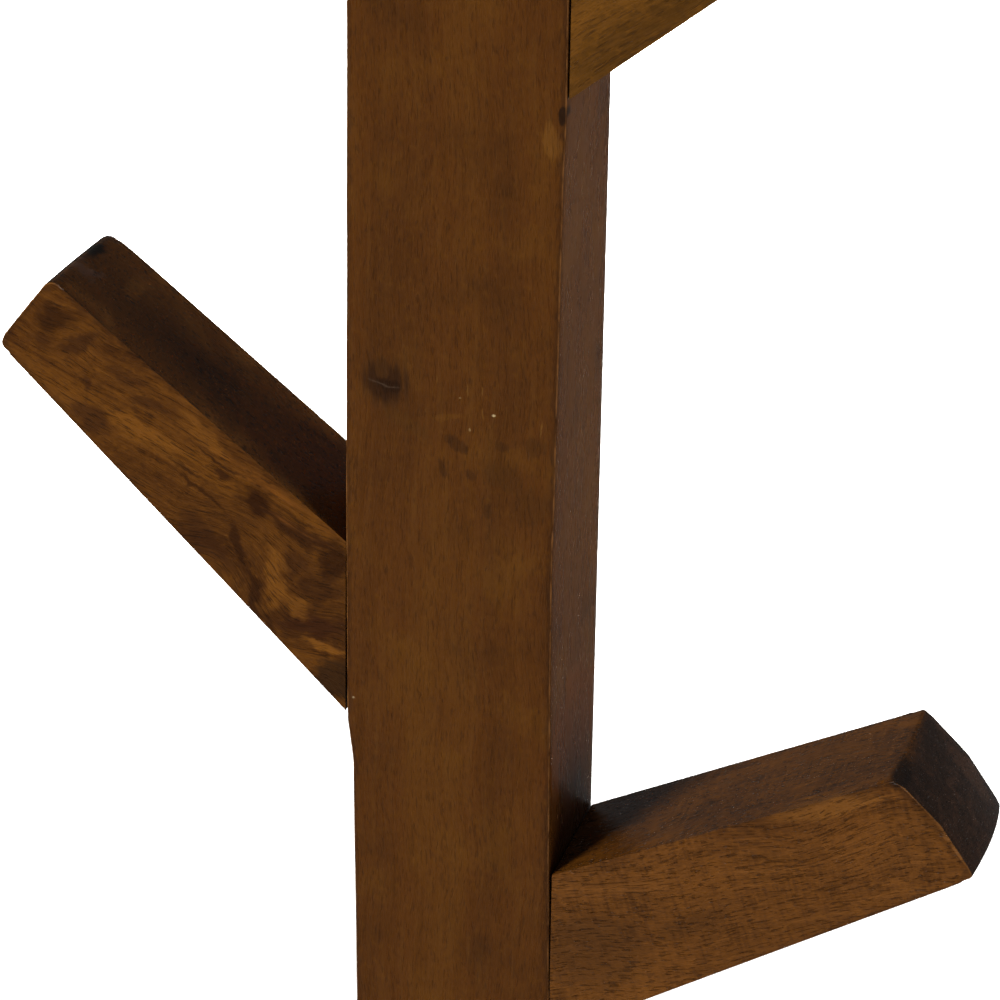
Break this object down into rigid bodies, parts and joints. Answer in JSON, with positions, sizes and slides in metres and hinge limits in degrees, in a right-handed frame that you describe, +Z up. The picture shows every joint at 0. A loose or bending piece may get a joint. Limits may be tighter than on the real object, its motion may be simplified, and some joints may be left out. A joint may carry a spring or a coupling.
{
  "type": "mug tree",
  "caption": "Free-standing wooden mug tree: a flat rectangular post on a plate, with slanted square-cut pegs up both sides.",
  "frame": {"origin": "on the ground under the middle of the post and of the base plate, at the felt discs' undersides", "axes": "+Z up the post, +X towards the right-hand pegs, -Y towards the front"},
  "size_m": [0.16, 0.12, 0.4407],
  "materials": {
    "stained_hardwood": "dark brown stain under a thin satin lacquer, fine open pores along the grain",
    "beech_dowel": "plain unfinished beech, fluted",
    "zinc_plated_steel": "bright zinc plating",
    "brown_felt": "pressed felt"
  },
  "bodies": {
    "root": {"base_plate": "stained_hardwood", "post": "stained_hardwood", "right_lower_peg": "stained_hardwood", "left_lower_peg": "stained_hardwood", "right_middle_peg": "stained_hardwood", "left_middle_peg": "stained_hardwood", "right_upper_peg": "stained_hardwood", "left_upper_peg": "stained_hardwood", "right_lower_peg_front_dowel": "beech_dowel", "right_lower_peg_back_dowel": "beech_dowel", "left_lower_peg_front_dowel": "beech_dowel", "left_lower_peg_back_dowel": "beech_dowel", "right_middle_peg_front_dowel": "beech_dowel", "right_middle_peg_back_dowel": "beech_dowel", "left_middle_peg_front_dowel": "beech_dowel", "left_middle_peg_back_dowel": "beech_dowel", "right_upper_peg_front_dowel": "beech_dowel", "right_upper_peg_back_dowel": "beech_dowel", "left_upper_peg_front_dowel": "beech_dowel", "left_upper_peg_back_dowel": "beech_dowel", "left_foot_dowel": "beech_dowel", "right_foot_dowel": "beech_dowel", "foot_screw": "zinc_plated_steel", "front_left_felt_disc": "brown_felt", "back_left_felt_disc": "brown_felt", "front_right_felt_disc": "brown_felt", "back_right_felt_disc": "brown_felt"}
  },
  "joints": []
}
